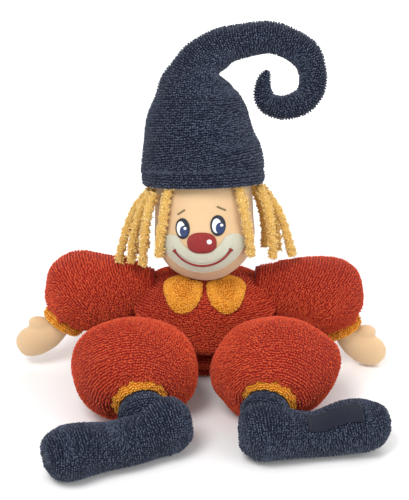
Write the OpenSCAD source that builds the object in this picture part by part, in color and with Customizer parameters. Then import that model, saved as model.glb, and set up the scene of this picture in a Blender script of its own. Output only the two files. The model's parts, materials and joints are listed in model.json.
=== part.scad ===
// Seated clown hand puppet: a terry glove body with stuffed arms, legs, head and a curled hat.
// Origin: on the floor, at the middle of the hem ring. It faces -Y, and +X is on the right from the front.

/* [Fabric] */
// Thickness of the terry and velour shells
wall = 1.8; // [1.2:0.2:2.4]
// Gap left between pieces that move past each other
gap = 0.4; // [0.3:0.1:0.8]

/* [Glove body] */
// Inside radius of the hem ring that the hand goes through
opening_r = 38; // [32:1:46]
// Height of the hem ring
hem_h = 9; // [6:1:11]
// Half width of the chest
chest_half_w = 60; // [50:1:72]
// Half depth of the chest
chest_half_d = 41; // [35:1:49]
// Height of the glove body up to the neck
body_h = 82; // [74:1:98]

/* [Head] */
// Radius of the head
head_r = 42.5; // [36:0.5:51]
// Height of the straight part of the head that the hat covers
head_rise = 26; // [20:1:32]
// How far the head leans back
head_lean = 20; // [10:1:24]
// How far the face turns to one side
head_yaw = 5.6; // [0:0.2:10]
// How far the head tips sideways
head_tip = 3.5; // [0:0.5:6]
// Inside radius of the head's finger pocket
head_pocket_r = 9; // [7:0.5:11]
// Depth of the head's finger pocket
head_pocket_h = 38; // [28:1:44]

/* [Hat] */
// Height of the turned-up hem
brim_h = 13; // [9:1:16]
// Room for the yarn hair between the head and the hem
hair_room = 4; // [3.5:0.5:6]
// Height of the hat from the hem to its crease
crown_h = 84; // [72:1:100]
// Radius of the hat at the crease
crease_r = 20; // [17:0.5:23]

/* [Hair] */
// Radius of one yarn strand
strand_r = 3.6; // [2.5:0.1:4]

/* [Arms] */
// Half thickness of the puffed sleeve
sleeve_r = 35; // [29:1:39]
// Distance from the shoulder to the middle of the sleeve
arm_reach = 47; // [44:1:57]
// Radius of the sewn shoulder root
shoulder_r = 15; // [13:0.5:17]
// Inside radius of an arm's finger pocket
arm_pocket_r = 8; // [6:0.5:9]
// How much lower the right arm rests
right_arm_drop = 6; // [0:1:8]
// Depth of an arm's finger pocket
arm_pocket_len = 36; // [28:1:42]
// Inside radius of the wrist cuff
wrist_r = 12; // [10:0.5:14]
// Length of the hand from the wrist
hand_len = 40; // [33:1:48]

/* [Legs] */
// Half width of the puffed trouser leg
puff_r = 45; // [38:1:50]
// Distance from the hip to the middle of the puff
leg_reach = 46; // [44:1:55]
// Radius of the sewn hip root
hip_r = 15; // [12:0.5:17]
// Inside radius of the ankle cuff
ankle_r = 16; // [13:0.5:18]
// Half height of the shoe
shoe_r = 21; // [17:0.5:25]
// Length of the shoe between the middles of its round ends
shoe_len = 80; // [67:1:96]

/* [Hidden] */

red = [0.72, 0.16, 0.08];
orange = [0.95, 0.5, 0.08];
navy = [0.13, 0.18, 0.3];
skin_tone = [0.87, 0.72, 0.55];
yarn = [0.93, 0.74, 0.3];
white = [0.95, 0.95, 0.93];
sides = 24;
// Room between a shell and its stuffing, and between a puffed sleeve or leg and its own
fill_gap = 0.3;
puff_gap = 1.5;
big = 400;

// ---- lofted soft solids: a station is [x, y, z, half width, half height] ----
function spline(a, b, c, d, t) =
    0.5 * (2 * b + (c - a) * t + (2 * a - 5 * b + 4 * c - d) * t * t + (3 * b - a - 3 * c + d) * t * t * t);
function smooth(s, steps) = [for (i = [0 : len(s) - 2]) for (k = [0 : steps - 1])
    spline(s[max(i - 1, 0)], s[i], s[i + 1], s[min(i + 2, len(s) - 1)], k / steps), s[len(s) - 1]];
function unit(v) = v / norm(v);
function place(s) = [s[0], s[1], s[2]];
function ahead(s, i) = unit(place(s[min(i + 1, len(s) - 1)]) - place(s[max(i - 1, 0)]));
// Rings stand square to the path, or level where the last argument is true, or turn evenly from one
// direction to another where it is a pair of directions.
function facing(s, i, level) = level == true ? [0, 0, 1] : level == false ? ahead(s, i)
    : unit(level[0] * (len(s) - 1 - i) + level[1] * i);
function ring(s, i, up, n, level) =
    let (t = facing(s, i, level), across = unit(cross(up, t)), over = cross(t, across))
    [for (k = [0 : n - 1]) place(s[i]) + across * s[i][3] * cos(360 * k / n) + over * s[i][4] * sin(360 * k / n)];

function rings(stations, up, steps = 2, n = sides, level = false) =
    let (s = smooth(stations, steps)) [for (i = [0 : len(s) - 1]) ring(s, i, up, n, level)];
function turned(list) = [for (i = [len(list) - 1 : -1 : 0]) list[i]];

// A ring that goes out along an outer arc and back along an inner one is capped across the two arcs.
function strip_cap(base, n, up) = [for (k = [0 : n / 2 - 2])
    let (a = base + k, b = base + k + 1, c = base + n - 2 - k, d = base + n - 1 - k)
    each (up ? [[a, d, b], [b, d, c]] : [[a, b, d], [b, c, d]])];

// One closed surface through a list of rings with the same number of points, capped at both ends,
// or with its last ring joined to its first.
module through(list, joined = false, strip = false) {
    n = len(list[0]);
    count = len(list);
    walls = [for (i = [0 : count - (joined ? 1 : 2)]) for (k = [0 : n - 1])
        let (j = (i + 1) % count, m = (k + 1) % n, a = i * n + k, b = i * n + m, c = j * n + k, d = j * n + m)
        each [[a, c, b], [b, c, d]]];
    start = [for (k = [0 : n - 1]) k];
    end = [for (k = [n - 1 : -1 : 0]) (count - 1) * n + k];
    last = (count - 1) * n;
    caps = strip ? concat(strip_cap(0, n, false), strip_cap(last, n, true)) : [start, end];
    polyhedron([for (r = list) each r], joined ? walls : concat(caps, walls), convexity = 6);
}
module loft(stations, up, steps = 2, n = sides, level = false) {
    through(rings(stations, up, steps, n, level));
}
// A shell open at both ends, one open at its start only, and a panel that covers part of the way round.
module open_shell(stations, up, steps = 2, n = sides, level = false) {
    inner = rings(slimmer(stations, wall, 0, 0), up, steps, n, level);
    through(concat(turned(inner), rings(stations, up, steps, n, level)), true);
}
module cup_shell(stations, up, steps = 2, n = sides, level = false) {
    inner = rings(slimmer(stations, wall, 0, wall), up, steps, n, level);
    through(concat(turned(inner), rings(stations, up, steps, n, level)));
}
module panel(stations, up, from, to, steps = 2, n = sides) {
    outer = rings(stations, up, steps, n, true);
    inner = rings(slimmer(stations, wall, 0, 0), up, steps, n, true);
    through([for (i = [0 : len(outer) - 1]) concat(
        [for (k = [from : to]) outer[i][k % n]], [for (k = [to : -1 : from]) inner[i][k % n]])], false, true);
}

// The same stations, thinner all round by d, and shorter by first at the start and by last at the end.
function slimmer(s, d, first, last) = [for (i = [0 : len(s) - 1])
    let (pull = i == 0 ? ahead(s, 0) * first : i == len(s) - 1 ? -ahead(s, i) * last : [0, 0, 0])
    let (p = place(s[i]) + pull) [p[0], p[1], p[2], max(s[i][3] - d, 1), max(s[i][4] - d, 1)]];

module front_half(y) { translate([-big / 2, y - big, -big / 2]) cube(big); }
module back_half(y) { translate([-big / 2, y, -big / 2]) cube(big); }

// ---- glove body ----
neck_y = -9;
neck_pivot = [0, neck_y, body_h + 4];
neck_r = 14;
hem_wall = 4.3;
shoulder = [chest_half_w - 3, neck_y, body_h - 11];
hip = [36, neck_y - chest_half_d - 8, 34];

function torso_stations() = [
    [0, 0, hem_h + 0.1, opening_r + hem_wall, opening_r + hem_wall],
    [0, neck_y + 3, 0.24 * body_h, chest_half_w - 5, chest_half_d],
    [0, neck_y - 2, 0.5 * body_h, chest_half_w, chest_half_d + 1],
    [0, neck_y - 2, 0.75 * body_h, chest_half_w - 3, chest_half_d],
    [0, neck_y - 2, 0.9 * body_h, chest_half_w - 15, chest_half_d - 8],
    [0, neck_y, body_h, 20, 19]];

torso_sides = 28;
function mirrored(p, s) = [s * p[0], p[1], p[2]];

module torso_panel(from, to) {
    color(red) difference() {
        panel(torso_stations(), [0, 1, 0], from, to, 2, torso_sides);
        translate([0, neck_y, body_h / 2]) cylinder(r = neck_r + gap, h = body_h, $fn = 48);
        for (s = [-1, 1]) translate(mirrored(shoulder, s)) sphere(r = shoulder_r + gap, $fn = 48);
        if (from > 0) for (s = [-1, 1]) translate(mirrored(hip, s)) sphere(r = hip_r + gap, $fn = 48);
    }
}
module torso_front_panel() { torso_panel(torso_sides / 2, torso_sides); }
module torso_back_panel() { torso_panel(0, torso_sides / 2); }
module glove_hem() {
    color(red) difference() {
        cylinder(r = opening_r + hem_wall, h = hem_h, $fn = 64);
        translate([0, 0, -1]) cylinder(r = opening_r, h = hem_h + 2, $fn = 64);
    }
}

// ---- collar: two rounded lobes that lie on the chest ----
collar_t = 2.6;
lobe_r = 15;
lobe_reach = chest_half_d - 2;
module lobe_outline() {
    middle = [lobe_r + 1, neck_y - lobe_reach + lobe_r];
    polygon(concat([[1, neck_y - 9], [1, middle[1]]], arc(middle[0], middle[1], lobe_r, 190, 350, 12),
        arc(27, neck_y - 12, 7, 0, 90, 5)));
}
function collar_stations() = [for (i = [2 : 5]) torso_stations()[i]];
function collar_outer() = rings(slimmer(collar_stations(), -gap - collar_t, 0, -gap - collar_t), [0, 1, 0], 2,
    torso_sides, true);
function collar_inner() = rings(slimmer(collar_stations(), -gap, 0, -gap), [0, 1, 0], 2, torso_sides, true);
module collar(side) {
    color(orange) intersection() {
        difference() {
            through([for (i = [0 : len(collar_outer()) - 1]) concat(
                [for (k = [torso_sides / 2 : torso_sides]) collar_outer()[i][k % torso_sides]],
                [for (k = [torso_sides : -1 : torso_sides / 2]) collar_inner()[i][k % torso_sides]])],
                false, true);
            translate([0, neck_y, 0]) cylinder(r = neck_r + 6, h = big, $fn = 48);
        }
        translate([0, 0, 0.6 * body_h]) linear_extrude(body_h) flip(side) lobe_outline();
    }
}

// ---- neck and head ----
neck_top = 6;
neck_bottom = 20;
function head_centre() = neck_pivot + [0, 0, sqrt(head_r * head_r - pow(neck_r + 2, 2))];
module in_head() { translate(head_centre()) rotate([-head_lean, -head_tip, -head_yaw]) children(); }
module neck_tube() {
    color(red) translate(neck_pivot - [0, 0, neck_bottom]) difference() {
        cylinder(r = neck_r, h = neck_bottom + neck_top, $fn = 48);
        translate([0, 0, -1]) cylinder(r = neck_r - wall, h = neck_bottom + neck_top + 2, $fn = 48);
    }
}
arc_step = 9;
function head_profile(r) = concat(
    [for (a = [-90 : arc_step : 0]) [r * cos(a), r * sin(a)]],
    [for (a = [0 : arc_step : 90]) [(r - 1) * cos(a), head_rise + (r - 1) * sin(a)]]);
module head_solid(r) { in_head() rotate_extrude($fn = 64) polygon(head_profile(r)); }
module neck_clear(extra) {
    translate(neck_pivot) sphere(r = neck_r + 2 + extra, $fn = 48);
    translate(neck_pivot - [0, 0, head_r]) cylinder(r = neck_r + 2 + extra, h = head_r, $fn = 48);
}
module head_shell() {
    difference() {
        head_solid(head_r);
        head_solid(head_r - wall);
        neck_clear(0);
    }
}
module face_panel() { color(skin_tone) intersection() { head_shell(); front_half(neck_y); } }
module head_back_panel() { color(skin_tone) intersection() { head_shell(); back_half(neck_y); } }
pocket_floor = neck_pivot[2] + 10;
pocket_wall = 1.4;
module head_stuffing() {
    color(white) difference() {
        head_solid(head_r - wall - 0.2);
        neck_clear(0.3);
        translate([0, neck_y, pocket_floor - 20])
            cylinder(r = head_pocket_r + pocket_wall + 0.1, h = head_pocket_h + 20 + pocket_wall + 0.2, $fn = 48);
    }
}
module head_finger_pocket() {
    color(red) translate([0, neck_y, pocket_floor]) difference() {
        cylinder(r = head_pocket_r + pocket_wall, h = head_pocket_h + pocket_wall, $fn = 48);
        translate([0, 0, -1]) cylinder(r = head_pocket_r, h = head_pocket_h + 1, $fn = 48);
    }
}

// ---- face: flat outlines in the head's own front view, wrapped on the ball ----
module on_face(low, high) {
    in_head() intersection() {
        difference() {
            rotate_extrude($fn = 64) polygon(head_profile(head_r + high));
            rotate_extrude($fn = 64) polygon(head_profile(head_r + low));
        }
        rotate([90, 0, 0]) linear_extrude(head_r + 5) children();
    }
}
module ellipse(a, b) { polygon([for (k = [0 : 39]) [a * cos(9 * k), b * sin(9 * k)]]); }
eye_x = 15;
eye_z = 9.5;
nose_z = -4;
smile_r = 28.3;
smile_z = 4;
smile_half_angle = 58;
patch_r = 32;
patch_z = 10;
patch_half = 8;
patch_half_angle = 52;
function arc(x, z, r, from, to, n) = [for (k = [0 : n])
    let (a = from + (to - from) * k / n) [x + r * cos(a), z + r * sin(a)]];
module arc_band(r, half, half_angle) {
    low = -90 - half_angle;
    high = -90 + half_angle;
    polygon(concat(
        arc(0, 0, r + half, low, high, 16),
        arc(r * cos(high), r * sin(high), half, high, high + 180, 8),
        arc(0, 0, r - half, high, low, 16),
        arc(r * cos(low), r * sin(low), half, low + 180, low + 360, 8)));
}
module eye(side) {
    color(navy) on_face(0.1, 1.1) translate([side * eye_x, eye_z]) ellipse(6, 8.4);
}
module nose() {
    color([0.45, 0.04, 0.05]) on_face(0.1, 2.4) translate([0, nose_z]) ellipse(11.8, 8.6);
}
module mouth_patch() {
    color([0.72, 0.74, 0.66]) on_face(0.1, 0.8) translate([0, patch_z])
        arc_band(patch_r, patch_half, patch_half_angle);
}
module smile() {
    color([0.45, 0.04, 0.05]) on_face(0.9, 1.9) translate([0, smile_z])
        arc_band(smile_r, 0.9, smile_half_angle);
}
module eyebrow(side) {
    color([0.5, 0.36, 0.22]) on_face(0.1, 1) translate([side * eye_x, eye_z + 14]) rotate(-side * 20) hull() {
        for (x = [-3.5, 3.5]) translate([x, 0]) circle(r = 1, $fn = 24);
    }
}

// ---- hat, along the head's own axis: stations are [sideways, height, radius] above the hem ----
hem_low = head_rise + 14;
hat_r = head_r + hair_room + 1;
hem_t = 3;
module hat_hem() {
    color(navy) in_head() translate([0, 0, hem_low]) difference() {
        cylinder(r = hat_r + hem_t, h = brim_h, $fn = 64);
        translate([0, 0, -1]) cylinder(r = hat_r, h = brim_h + 2, $fn = 64);
    }
}
crown_low = hem_low + brim_h + 0.1;
function up_station(x, z, r) = [x, 0, z, r, r];
function crown_stations() = [
    up_station(0, crown_low, hat_r + 1),
    up_station(-3, crown_low + 0.22 * crown_h, hat_r - 1),
    up_station(-5, crown_low + 0.42 * crown_h, 0.93 * hat_r - 1),
    up_station(-6, crown_low + 0.62 * crown_h, 0.8 * hat_r - 1),
    up_station(-6, crown_low + 0.81 * crown_h, 0.5 * hat_r + 0.35 * crease_r),
    up_station(-1, crown_low + crown_h, crease_r)];
crease = [-1, 0, crown_low + crown_h + 3];
curl_gap = 0.6;
module hat_crown() {
    color(navy) in_head() difference() {
        open_shell(crown_stations(), [0, 1, 0], 2, sides, true);
        translate(crease) sphere(r = crease_r + curl_gap, $fn = 48);
    }
}
module hat_stuffing() {
    color(white) in_head() difference() {
        loft(slimmer(crown_stations(), wall + fill_gap + 0.2, 1, 1), [0, 1, 0], 2, sides, true);
        translate([0, 0, crown_low])
            cylinder(r1 = head_r + 1, r2 = 22, h = head_r + head_rise - crown_low + 1, $fn = 48);
        translate(crease) sphere(r = crease_r + curl_gap, $fn = 48);
    }
}
// The curl leaves the crease sideways, arches over and rolls up: [sideways, height] from the crease.
function curl_stations() = [for (p = [
    [-1, 1, crease_r - 4], [7, 9, crease_r - 4], [20, 13, 14.5], [39, 17, 13.4], [58, 18, 12.5],
    [77, 13, 12.2], [89, 2, 11.2], [91, -14, 10], [86, -29, 9.4], [71, -36, 8.8], [57, -33, 8.3],
    [52, -24, 7.4], [53, -15, 6], [57, -9, 3.2]])
    [crease[0] + p[0], 0, crease[2] + p[1], p[2], p[2]]];
module hat_curl() {
    color(navy) in_head() loft(curl_stations(), [0, 1, 0], 2, 16);
}

// ---- hair: free yarn strands that hang from under the hem, each along its own points ----
left_routes = [
    [[-46, 6, 155], [-57, 1, 144], [-65, -6, 128], [-70, -11, 112], [-73, -14, 97]],
    [[-45, -6, 159], [-53, -13, 148], [-58, -19, 132], [-61, -21, 116], [-62, -23, 102]],
    [[-41, -18, 165], [-46, -25, 153], [-49, -29, 139], [-51, -31, 122], [-52, -31, 104]],
    [[-29, -26, 174], [-32, -32, 163], [-34, -36, 149], [-37, -38, 133], [-38, -38, 116]],
    [[-45, 18, 151], [-53, 16, 138], [-58, 12, 124], [-60, 8, 108], [-60, 5, 96]],
    [[-41, 29, 146], [-48, 28, 134], [-51, 26, 120], [-52, 24, 104], [-52, 22, 92]]];
right_routes = [
    [[48, 4, 160], [58, -2, 148], [66, -8, 134], [71, -12, 118], [75, -14, 104]],
    [[46, -9, 165], [52, -16, 154], [55, -21, 140], [57, -24, 124], [58, -25, 108]],
    [[27, -25, 176], [31, -32, 165], [34, -37, 151], [37, -39, 134], [39, -39, 117]],
    [[46, 17, 156], [54, 14, 144], [59, 10, 130], [62, 6, 114], [63, 4, 100]],
    [[40, 29, 150], [47, 28, 138], [51, 26, 124], [53, 24, 108], [53, 22, 94]]];
back_routes = [
    [[-30, 40, 142], [-34, 42, 130], [-37, 41, 116], [-38, 39, 100]],
    [[-16, 47, 139], [-18, 49, 127], [-19, 48, 113], [-20, 45, 97]],
    [[0, 50, 139], [0, 52, 126], [0, 51, 112], [0, 48, 96]],
    [[16, 47, 141], [18, 49, 128], [19, 48, 114], [20, 45, 98]],
    [[30, 40, 144], [34, 42, 132], [37, 41, 118], [38, 39, 102]]];
module strand(route) {
    color(yarn) loft([for (p = route) [p[0], p[1], p[2], strand_r, strand_r]], [0, 1, 0], 2, 8);
}

// ---- arms: built on the +X side and mirrored; the shoulder is the pivot ----
pocket_start = -3;
cuff_len = 9;
cuff_wall = 3.6;
cuff_gap = 0.2;
function arm_stations() = [
    [-0.6 * shoulder_r, 0, 0, 0.8 * shoulder_r, 0.8 * shoulder_r],
    [0, 0, 0, shoulder_r - 0.5, shoulder_r - 0.5],
    [0.8 * shoulder_r, 0, -1, shoulder_r, shoulder_r],
    [0.6 * arm_reach, 0, -2, 0.86 * sleeve_r, 0.86 * sleeve_r],
    [arm_reach, -2, -5, sleeve_r, sleeve_r],
    [arm_reach + 9, -5, -16, 0.8 * sleeve_r, 0.86 * sleeve_r],
    [arm_reach + 16, -8, -26, wrist_r + cuff_wall, wrist_r + cuff_wall]];
function end_dir(stations) = let (s = smooth(stations, 2)) ahead(s, len(s) - 1);
function end_place(stations) = place(stations[len(stations) - 1]);
function arm_turn() = [[1, 0, 0], end_dir(arm_stations())];
function wrist() = end_place(arm_stations()) + end_dir(arm_stations()) * (cuff_len / 2 + cuff_gap);

module flip(side) { if (side < 0) mirror([1, 0, 0]) children(); else children(); }
module along(dir) { rotate([0, acos(dir[2]), atan2(dir[1], dir[0])]) children(); }
module on_arm(side) {
    translate(mirrored(shoulder, side)) rotate([0, side > 0 ? right_arm_drop : 0, 0]) flip(side) children();
}
module finger_bore(extra, from) {
    translate([from, 0, 0]) rotate([0, 90, 0])
        cylinder(r = arm_pocket_r + extra, h = arm_pocket_len + extra - from + pocket_start, $fn = 48);
}
module cuff_ring(stations, inner) {
    dir = end_dir(stations);
    translate(end_place(stations) + dir * cuff_gap) along(dir) difference() {
        cylinder(r = inner + cuff_wall, h = cuff_len, $fn = 48);
        translate([0, 0, -1]) cylinder(r = inner, h = cuff_len + 2, $fn = 48);
    }
}
module sleeve(side) {
    color(red) on_arm(side) cup_shell(arm_stations(), [0, 1, 0], 2, sides, arm_turn());
}
module sleeve_stuffing(side) {
    color(white) on_arm(side) difference() {
        loft(slimmer(arm_stations(), wall + puff_gap, 0, wall + fill_gap), [0, 1, 0], 2, sides, arm_turn());
        finger_bore(pocket_wall + 0.2, -shoulder_r);
    }
}
module finger_pocket(side) {
    color(red) on_arm(side) difference() {
        finger_bore(pocket_wall, pocket_start);
        translate([pocket_start - 1, 0, 0]) rotate([0, 90, 0])
            cylinder(r = arm_pocket_r, h = arm_pocket_len + 1, $fn = 48);
    }
}
module sleeve_cuff(side) { color(orange) on_arm(side) cuff_ring(arm_stations(), wrist_r); }

// The hand is a mitt, flat from front to back, open at the wrist.
function palm_stations() = let (c = end_dir(arm_stations()), h = unit([0.93, -0.1, -0.35]), w = wrist()) [
    [each w - c, wrist_r - 4, wrist_r - 4],
    [each w + c * 5, wrist_r - 4.5, wrist_r - 4.5],
    [each w + c * 10 + h * 0.18 * hand_len, wrist_r - 1, wrist_r - 4],
    [each w + c * 9 + h * 0.45 * hand_len, wrist_r + 4, wrist_r - 3],
    [each w + c * 7 + h * 0.72 * hand_len, wrist_r + 1, wrist_r - 4],
    [each w + c * 6 + h * 0.86 * hand_len, 4, 2.5]];
module hand(side) { color(skin_tone) on_arm(side) cup_shell(palm_stations(), [0, 1, 0], 2, 20); }
module hand_stuffing(side) {
    color(white) on_arm(side)
        loft(slimmer(palm_stations(), wall + fill_gap, 0, wall + fill_gap), [0, 1, 0], 2, 20);
}

// ---- legs: built on the +X side and mirrored; the hip is the pivot ----
leg_dir = unit([0.55, -0.81, 0.2]);
function leg_stations() = [
    [each leg_dir * -6, hip_r - 5, hip_r - 5],
    [0, 0, 0, hip_r - 0.5, hip_r - 0.5],
    [each leg_dir * 10, hip_r + 1, hip_r + 1],
    [each leg_dir * 0.55 * leg_reach, 0.82 * puff_r, 0.8 * puff_r],
    [each leg_dir * leg_reach, puff_r, 0.93 * puff_r],
    [each leg_dir * leg_reach + [-5, -18, -3], 0.78 * puff_r, 0.74 * puff_r],
    [each leg_dir * leg_reach + [-8, -30, -7], ankle_r + cuff_wall, ankle_r + cuff_wall]];
function leg_turn() = [leg_dir, end_dir(leg_stations())];
function ankle() = end_place(leg_stations()) + end_dir(leg_stations()) * (cuff_len / 2 + cuff_gap);
module on_leg(side) { translate(mirrored(hip, side)) flip(side) children(); }
module trouser_leg(side) {
    color(red) on_leg(side) open_shell(leg_stations(), [0, 0, 1], 2, sides, leg_turn());
}
module leg_stuffing(side) {
    color(white) on_leg(side)
        loft(slimmer(leg_stations(), wall + puff_gap, 0, 0), [0, 0, 1], 2, sides, leg_turn());
}
module ankle_cuff(side) { color(orange) on_leg(side) cuff_ring(leg_stations(), ankle_r); }

// ---- shoes: terry booties, heel near the ankle, toe pointing outwards ----
shoe_floor = shoe_r - hip[2];
toe_turn = 32;
function shoe_turn(side) = side > 0 ? toe_turn : 0;
function heel_at() = [-20, -24];
function toe_dir() = unit([0.92, -0.39]);
function shoe_stations() = let (a = ankle(), h = heel_at(), t = toe_dir() * shoe_len)
    [for (k = [[-0.235, 0.22, -1], [-0.19, 0.62, -1], [0, 0.96, 0], [0.35, 0.97, 0], [0.7, 0.98, 0],
        [1, 0.985, 0], [1.19, 0.66, 1], [1.245, 0.25, 1]])
        [h[0] + t[0] * k[0], h[1] + t[1] * k[0], shoe_floor - a[2] + k[2], shoe_r * k[1], shoe_r * k[1]]];
module on_ankle(side) {
    on_leg(side) translate(ankle()) rotate([0, 0, shoe_turn(side)]) children();
}
shoe_sides = 20;
// The turning gap stays open at the heel.
module shoe(side) { color(navy) on_ankle(side) cup_shell(shoe_stations(), [0, 0, 1], 2, shoe_sides); }
module shoe_stuffing(side) {
    inset = wall + fill_gap;
    color(white) on_ankle(side)
        loft(slimmer(shoe_stations(), inset, inset, inset), [0, 0, 1], 2, shoe_sides);
}

// A small blank woven label wrapped on the top of one shoe.
label_size = [44, 13];
label_t = 0.8;
module shoe_label() {
    color([0.08, 0.1, 0.18]) intersection() {
        difference() {
            on_ankle(1) loft(slimmer(shoe_stations(), -0.1 - label_t, 0, 0), [0, 0, 1], 2, shoe_sides);
            on_ankle(1) loft(slimmer(shoe_stations(), -0.1, 0, 0), [0, 0, 1], 2, shoe_sides);
        }
        on_ankle(1) translate([heel_at()[0] + 26, heel_at()[1] - 20, 0]) rotate([0, 0, -23])
            translate([0, -label_size[1] / 2, -20]) cube([label_size[0], label_size[1], 60]);
    }
}

torso_front_panel();
torso_back_panel();
glove_hem();
collar(-1);  // collar_left
collar(1);  // collar_right
neck_tube();
face_panel();
head_back_panel();
head_stuffing();
head_finger_pocket();
eye(-1);  // left_eye
eye(1);  // right_eye
nose();
mouth_patch();
smile();
eyebrow(-1);  // left_eyebrow
eyebrow(1);  // right_eyebrow
hat_hem();
hat_crown();
hat_stuffing();
hat_curl();
for (i = [1 : 6]) {
    strand(left_routes[i - 1]);
}
for (i = [1 : 5]) {
    strand(right_routes[i - 1]);
    strand(back_routes[i - 1]);
}
for (side = [-1, 1]) {
    name = side < 0 ? "left_" : "right_";
    sleeve(side);
    sleeve_stuffing(side);
    finger_pocket(side);
    sleeve_cuff(side);
    hand(side);
    hand_stuffing(side);
    trouser_leg(side);
    leg_stuffing(side);
    ankle_cuff(side);
    shoe(side);
    shoe_stuffing(side);
}
shoe_label();
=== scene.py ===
import json
import math

import bpy
import numpy as np
from mathutils import Matrix, Vector
from mathutils.bvhtree import BVHTree

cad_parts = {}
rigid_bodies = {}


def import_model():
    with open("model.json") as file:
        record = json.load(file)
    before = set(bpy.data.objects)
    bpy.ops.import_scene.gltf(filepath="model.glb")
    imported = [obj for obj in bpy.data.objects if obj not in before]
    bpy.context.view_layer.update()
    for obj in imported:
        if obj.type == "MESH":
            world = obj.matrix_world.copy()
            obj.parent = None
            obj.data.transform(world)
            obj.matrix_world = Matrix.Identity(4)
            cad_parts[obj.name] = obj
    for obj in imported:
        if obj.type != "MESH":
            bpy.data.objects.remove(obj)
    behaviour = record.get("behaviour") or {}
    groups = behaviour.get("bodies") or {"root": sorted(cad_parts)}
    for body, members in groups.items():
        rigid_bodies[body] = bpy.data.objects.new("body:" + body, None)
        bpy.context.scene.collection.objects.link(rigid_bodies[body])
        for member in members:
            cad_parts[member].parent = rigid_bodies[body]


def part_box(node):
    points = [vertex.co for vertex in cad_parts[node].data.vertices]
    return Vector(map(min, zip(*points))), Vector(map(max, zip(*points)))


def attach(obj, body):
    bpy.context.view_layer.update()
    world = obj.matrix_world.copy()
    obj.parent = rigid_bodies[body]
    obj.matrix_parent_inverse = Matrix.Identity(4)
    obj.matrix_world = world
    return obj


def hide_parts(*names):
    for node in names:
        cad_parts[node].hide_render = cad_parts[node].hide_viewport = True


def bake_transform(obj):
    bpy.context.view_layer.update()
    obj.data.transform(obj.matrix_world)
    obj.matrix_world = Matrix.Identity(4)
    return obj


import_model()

# Seated clown hand puppet: terry cloth with real loops, velour head and hands, yarn hair.
# Lengths in this script are in millimetres until a mesh is made.
MM = 0.001
TAU = 2 * math.pi
dice = np.random.default_rng(11)
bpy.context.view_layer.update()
bpy.ops.object.select_all(action="DESELECT")
view = bpy.context.scene


# ---- camera ----
def make_camera(elevation=28, distance=1.3, aim=(0, -0.014, 0.109)):
    data = bpy.data.cameras.new("camera")
    data.lens, data.sensor_width = 110, 36
    camera = bpy.data.objects.new("camera", data)
    view.collection.objects.link(camera)
    tilt = math.radians(elevation)
    camera.location = Vector(aim) + distance * Vector((0, -math.cos(tilt), math.sin(tilt)))
    camera.rotation_euler = (math.pi / 2 - tilt, 0, 0)
    view.camera = camera
    view.view_settings.view_transform = "Standard"


make_camera()


# ---- shapes in numbers: a station is [x, y, z, half width, half height] ----
def unit(v):
    v = np.asarray(v, float)
    return v / np.maximum(np.linalg.norm(v, axis=-1, keepdims=True), 1e-9)


def smooth_path(stations, steps):
    s = np.array(stations, float)
    out = []
    for i in range(len(s) - 1):
        a, b, c, d = s[max(i - 1, 0)], s[i], s[i + 1], s[min(i + 2, len(s) - 1)]
        for k in range(steps):
            t = k / steps
            out.append(0.5 * (2 * b + (c - a) * t + (2 * a - 5 * b + 4 * c - d) * t * t
                              + (3 * b - a - 3 * c + d) * t ** 3))
    out.append(s[-1])
    return np.array(out)


def rings(stations, up, steps=6, around=72, level=False):
    """Rings of points along a smooth path: square to it, level, or turning evenly between two directions."""
    s = smooth_path(stations, steps)
    middle = s[:, :3]
    nxt, last = np.roll(middle, -1, 0), np.roll(middle, 1, 0)
    nxt[-1], last[0] = middle[-1], middle[0]
    along = unit(nxt - last)
    if level is True:
        along[:] = (0, 0, 1)
    elif level:
        run = np.concatenate([[0], np.cumsum(np.linalg.norm(np.diff(middle, axis=0), axis=1))])[:, None]
        along = unit(np.array(level[0]) * (run[-1] - run) + np.array(level[1]) * run)
    across = unit(np.cross(np.array(up, float), along))
    over = np.cross(along, across)
    turn = TAU * np.arange(around) / around
    return (middle[:, None] + across[:, None] * (s[:, 3:4] * np.cos(turn))[..., None]
            + over[:, None] * (s[:, 4:5] * np.sin(turn))[..., None])


def band(centre, direction, profile, around=72, pleats=0, depth=0.0):
    """A closed ring whose cross-section is profile, a loop of [radius, height] that rises outside."""
    direction = unit(direction)
    side = unit(np.cross(direction, (0, 1, 0) if abs(direction[1]) < 0.9 else (1, 0, 0)))
    other = np.cross(direction, side)
    turn = TAU * np.arange(around) / around
    wave = 1 + depth * np.sin(pleats * turn + 0.7 * np.sin(3 * turn))
    spoke = side * np.cos(turn)[:, None] + other * np.sin(turn)[:, None]
    r = np.array(profile, float)
    inner = r[:, 0].min()
    radius = inner + (r[:, :1] - inner) * wave
    return (np.asarray(centre, float) + radius[..., None] * spoke
            + r[:, None, 1:2] * direction)


def round_profile(inner, outer, low, high, bulge=0.0, groove=0.0, count=10):
    """Cross-section of a turned hem or a cuff: a soft outer face, a plain inner one."""
    t = np.linspace(0, 1, count)
    edge = (1 - np.abs(2 * t - 1) ** 6) ** 0.5
    out = inner + (outer - inner) * (0.45 + 0.55 * edge) + bulge * np.sin(math.pi * t)
    out -= groove * np.exp(-((t - 0.72) / 0.07) ** 2)
    height = low + (high - low) * t
    back = [[inner, high - (high - low) * q] for q in (0.1, 0.5, 0.9)]
    return [[a, b] for a, b in zip(out, height)] + back


def soft_noise(points, size, seed):
    """Smooth bumps of about -1 to 1 that depend only on place."""
    pick = np.random.default_rng(seed)
    total = np.zeros(points.shape[:-1])
    for _ in range(9):
        wave = unit(pick.normal(size=3)) * TAU / (size * pick.uniform(0.7, 1.6))
        total += np.sin(points @ wave + pick.uniform(0, TAU))
    return total / 4


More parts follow.
